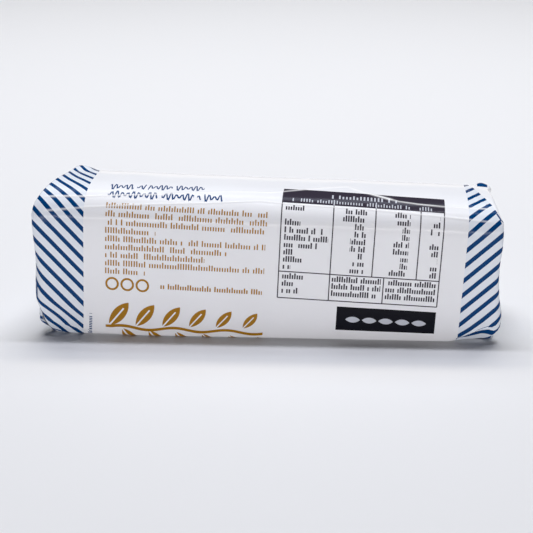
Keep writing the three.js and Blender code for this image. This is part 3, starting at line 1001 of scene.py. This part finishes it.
def finish_mesh(shape, name, material):
    """Turn a bmesh into a smooth-shaded object with crisp folds."""
    mesh = bpy.data.meshes.new(name)
    shape.to_mesh(mesh)
    shape.free()
    mesh.polygons.foreach_set("use_smooth", [True] * len(mesh.polygons))
    mesh.set_sharp_from_angle(angle=SHARP_FOLD)
    mesh.materials.append(material)
    return place_object(name, mesh)


class CHEESE_OT_film(bpy.types.Operator):
    """Wrap the pack in its printed film"""

    bl_idname = "cheese.film"
    bl_label = "Film wrap"

    def execute(self, context):
        scene = context.scene
        form = PackForm(scene.cheese_sizes)
        film = wrap_film(form, scene.cheese_sizes)
        material = printed_polypropylene_film(scene.cheese_colours, scene.cheese_look, form.crest)
        piece = finish_mesh(film, "film_wrap", material)
        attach(piece, "root")
        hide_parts("wrapped_cheese")
        return {"FINISHED"}


# Camera: solved from the photograph, in degrees and millimetres
CAMERA_PITCH = 19.68
CAMERA_YAW = -2.07
CAMERA_ROLL = -0.32
CAMERA_DISTANCE = 405.1
CAMERA_TARGET = (-0.88, -0.3, 17.1)
CAMERA_LENS = 87.35

# Lights: place, aim, width, depth in metres, power in watts, colour, and whether the gloss mirrors it. Strips
# hang along the pack, above and behind it, the narrowest for the shine on the creases, a low panel in front
# fills the printed side, and one far behind whitens the top
LIGHTS = (
    ("strip_shine", (0.0, 0.195, 1.3), (0.0, 0.0, 0.0), 1.0, 0.03, 2.5, "#F1F4FF", True),
    ("strip_above", (0.0, 0.195, 1.31), (0.0, 0.0, 0.0), 1.0, 0.12, 7.5, "#F1F4FF", False),
    ("strip_between", (0.0, 0.40, 1.28), (0.0, 0.0, 0.0), 1.0, 0.12, 2.9, "#F3F8FF", False),
    ("strip_behind", (0.0, 0.57, 1.17), (0.0, 0.0, 0.0), 1.0, 0.18, 7.3, "#FFFAF0", False),
    ("strip_far", (0.0, 0.80, 1.10), (0.0, 0.0, 0.0), 1.2, 0.25, 2.7, "#E2EEFF", True),
    ("panel_in_front", (0.0, -1.2, 0.07), (0.0, 0.0, 0.05), 1.6, 0.13, 6.9, "#FFFCFE", True),
    ("panel_behind", (0.0, 1.8, 0.25), (0.0, 0.0, 0.05), 1.6, 0.4, 1.55, "#FFF3E4", True),
)

# The world is seen by the camera past the floor and gives no light
BACKDROP = "#EEF2FA"
BACKDROP_STRENGTH = 0.85
FLOOR_REACH = 1.15


class CHEESE_OT_stage(bpy.types.Operator):
    """Set the pale floor, the soft lights and the camera"""

    bl_idname = "cheese.stage"
    bl_label = "Studio stage"

    def execute(self, context):
        scene = context.scene
        self.floor(scene)
        self.lights(scene)
        self.camera(scene)
        scene.view_settings.view_transform = "Standard"
        return {"FINISHED"}

    def floor(self, scene):
        sheet = bmesh.new()
        bmesh.ops.create_grid(sheet, x_segments=2, y_segments=2, size=FLOOR_REACH)
        # Painted board: even, pale and nearly matt
        material, add = new_material("matt_pale_board")
        shader = add("BsdfPrincipled", {"Base Color": (*scene.cheese_colours.floor, 1.0), "Roughness": 0.7})
        add("OutputMaterial", {"Surface": shader})
        finish_mesh(sheet, "floor", material)

    def lights(self, scene):
        world = bpy.data.worlds.new("studio")
        scene.world = world
        world.use_nodes = True
        world.node_tree.nodes.clear()
        add = partial(add_node, world.node_tree)
        seen = add("MULTIPLY", (add("LightPath").outputs["Is Camera Ray"], BACKDROP_STRENGTH))
        back = add("Background", {"Color": (*linear(BACKDROP), 1.0), "Strength": seen})
        add("OutputWorld", {"Surface": back})
        for name, place, aim, width, depth, power, colour, mirrored in LIGHTS:
            lamp = bpy.data.lights.new(name, "AREA")
            lamp.shape, lamp.size, lamp.size_y = "RECTANGLE", width, depth
            lamp.energy, lamp.color = power, linear(colour)
            light = place_object(name, lamp)
            light.location = place
            light.rotation_mode = "QUATERNION"
            light.rotation_quaternion = (Vector(aim) - Vector(place)).to_track_quat("-Z", "Y")
            light.visible_camera = False
            light.visible_glossy = mirrored

    def camera(self, scene):
        pitch, yaw, roll = (math.radians(angle) for angle in (CAMERA_PITCH, CAMERA_YAW, CAMERA_ROLL))
        forward = Vector((math.sin(yaw) * math.cos(pitch), math.cos(yaw) * math.cos(pitch), -math.sin(pitch)))
        data = bpy.data.cameras.new("camera")
        data.lens, data.sensor_width, data.clip_start = CAMERA_LENS, 36.0, 0.01
        camera = place_object("camera", data)
        camera.rotation_mode = "QUATERNION"
        camera.rotation_quaternion = forward.to_track_quat("-Z", "Y") @ Quaternion((0.0, 0.0, 1.0), -roll)
        camera.location = (Vector(CAMERA_TARGET) - forward * CAMERA_DISTANCE) * MM
        scene.camera = camera


class CHEESE_PT_panel(bpy.types.Panel):
    """Sizes, colours and pieces of the pack"""

    bl_idname = "CHEESE_PT_panel"
    bl_label = "Wrapped goat cheese"
    bl_space_type = "VIEW_3D"
    bl_region_type = "UI"
    bl_category = "Cheese pack"

    def draw(self, context):
        layout = self.layout
        for group in (getattr(context.scene, name) for name in GROUPS):
            column = layout.box()
            for name in group.__annotations__:
                column.prop(group, name)
        for operator in OPERATORS:
            layout.operator(operator.bl_idname)


GROUPS = {"cheese_sizes": PackSizes, "cheese_colours": PrintColours, "cheese_look": PackLook}
OPERATORS = (CHEESE_OT_stage, CHEESE_OT_film)


def register():
    for item in (*GROUPS.values(), *OPERATORS, CHEESE_PT_panel):
        bpy.utils.register_class(item)
    for name, group in GROUPS.items():
        setattr(bpy.types.Scene, name, bpy.props.PointerProperty(type=group))


def unregister():
    for name in GROUPS:
        delattr(bpy.types.Scene, name)
    for item in (CHEESE_PT_panel, *reversed(OPERATORS), *reversed(GROUPS.values())):
        bpy.utils.unregister_class(item)


def main():
    register()
    bpy.ops.cheese.stage()
    bpy.ops.cheese.film()


if __name__ == "__main__":
    main()
